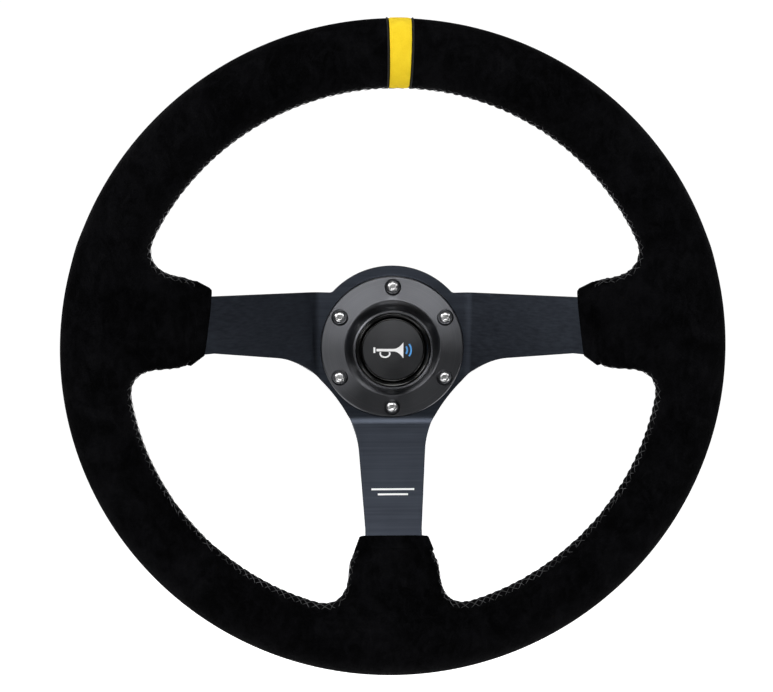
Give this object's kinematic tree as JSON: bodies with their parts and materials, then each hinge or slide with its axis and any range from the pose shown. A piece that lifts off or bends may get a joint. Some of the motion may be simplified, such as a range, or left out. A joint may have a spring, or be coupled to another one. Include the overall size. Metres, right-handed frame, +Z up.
{
  "type": "quick release steering wheel",
  "caption": "Dished three-spoke steering wheel with a suede-covered rim, centre marker, horn button and a pull-collar quick-release hub for a bolted column boss.",
  "frame": {"origin": "centre of the column half's flat mounting face, on the steering axis", "axes": "+Y along the steering axis into the column, away from the driver; +Z up, towards the centre marker; +X to the driver's right"},
  "size_m": [0.35, 0.1298, 0.35],
  "materials": {
    "suede_black": "napped suede, matt",
    "suede_yellow": "napped suede, matt",
    "rim_foam": "moulded polyurethane foam",
    "anodised_black": "brushed, black anodised",
    "ring_black": "turned, satin black anodised",
    "zinc_screw": "zinc plated",
    "steel": "bare steel",
    "spring_steel": "spring wire",
    "ball_steel": "polished bearing steel",
    "aluminium_hub": "turned, clear anodised",
    "collar_black": "turned and knurled, black anodised",
    "brass": "plain",
    "plastic_black": "moulded",
    "gloss_black": "glossy",
    "horn_face": "satin dark grey with a printed symbol"
  },
  "bodies": {
    "column": {"column_hub": "aluminium_hub"},
    "wheel": {"spoke_plate": "anodised_black", "rim_core_ring": "steel", "rivet_right_1": "steel", "rivet_right_2": "steel", "rivet_left_1": "steel", "rivet_left_2": "steel", "rivet_bottom_1": "steel", "rivet_bottom_2": "steel", "rim_padding_upper": "rim_foam", "rim_padding_lower_left": "rim_foam", "rim_padding_lower_right": "rim_foam", "cuff_padding_left": "rim_foam", "cuff_padding_right": "rim_foam", "cuff_padding_bottom": "rim_foam", "suede_upper_left": "suede_black", "suede_upper_right": "suede_black", "suede_lower_left": "suede_black", "suede_lower_right": "suede_black", "suede_cuff_left": "suede_black", "suede_cuff_right": "suede_black", "suede_cuff_bottom": "suede_black", "centre_marker_band": "suede_yellow", "hub_ring": "ring_black", "hub_screw_1": "zinc_screw", "hub_screw_2": "zinc_screw", "hub_screw_3": "zinc_screw", "hub_screw_4": "zinc_screw", "hub_screw_5": "zinc_screw", "hub_screw_6": "zinc_screw", "horn_housing": "plastic_black", "horn_bezel": "gloss_black", "horn_contact": "brass", "horn_terminal_signal": "brass", "horn_terminal_ground": "brass", "horn_spring": "spring_steel", "wheel_hub": "aluminium_hub", "collar_snap_ring": "steel", "collar_spring": "spring_steel"},
    "collar": {"release_collar": "collar_black"},
    "ball_1": {"lock_ball_1": "ball_steel"},
    "ball_2": {"lock_ball_2": "ball_steel"},
    "ball_3": {"lock_ball_3": "ball_steel"},
    "ball_4": {"lock_ball_4": "ball_steel"},
    "ball_5": {"lock_ball_5": "ball_steel"},
    "ball_6": {"lock_ball_6": "ball_steel"},
    "horn": {"horn_cap": "gloss_black", "horn_face_disc": "horn_face", "horn_plunger": "brass"}
  },
  "joints": [
    {"name": "wheel_release", "type": "slide", "parent": "column", "child": "wheel", "axis": [0, -1, 0], "range_m": [0, 0.06]},
    {"name": "collar_slide", "type": "slide", "parent": "wheel", "child": "collar", "axis": [0, -1, 0], "range_m": [0, 0.006], "stiffness_N_per_m": 2000, "springref_m": -0.01, "deforming": ["collar_spring"]},
    {"name": "horn_press", "type": "slide", "parent": "wheel", "child": "horn", "axis": [0, 1, 0], "range_m": [0, 0.0025], "stiffness_N_per_m": 1500, "springref_m": -0.003, "deforming": ["horn_spring"]},
    {"name": "ball_1_slide", "type": "slide", "parent": "wheel", "child": "ball_1", "axis": [0, 0, 1], "range_m": [0, 0.00221]},
    {"name": "ball_2_slide", "type": "slide", "parent": "wheel", "child": "ball_2", "axis": [0.866, 0, 0.5], "range_m": [0, 0.00221]},
    {"name": "ball_3_slide", "type": "slide", "parent": "wheel", "child": "ball_3", "axis": [0.866, 0, -0.5], "range_m": [0, 0.00221]},
    {"name": "ball_4_slide", "type": "slide", "parent": "wheel", "child": "ball_4", "axis": [0, 0, -1], "range_m": [0, 0.00221]},
    {"name": "ball_5_slide", "type": "slide", "parent": "wheel", "child": "ball_5", "axis": [-0.866, 0, -0.5], "range_m": [0, 0.00221]},
    {"name": "ball_6_slide", "type": "slide", "parent": "wheel", "child": "ball_6", "axis": [-0.866, 0, 0.5], "range_m": [0, 0.00221]}
  ],
  "couplings": [
    {"joint": "ball_1_slide", "follows": "collar_slide", "ratio": 0.36667},
    {"joint": "ball_2_slide", "follows": "collar_slide", "ratio": 0.36667},
    {"joint": "ball_3_slide", "follows": "collar_slide", "ratio": 0.36667},
    {"joint": "ball_4_slide", "follows": "collar_slide", "ratio": 0.36667},
    {"joint": "ball_5_slide", "follows": "collar_slide", "ratio": 0.36667},
    {"joint": "ball_6_slide", "follows": "collar_slide", "ratio": 0.36667}
  ]
}
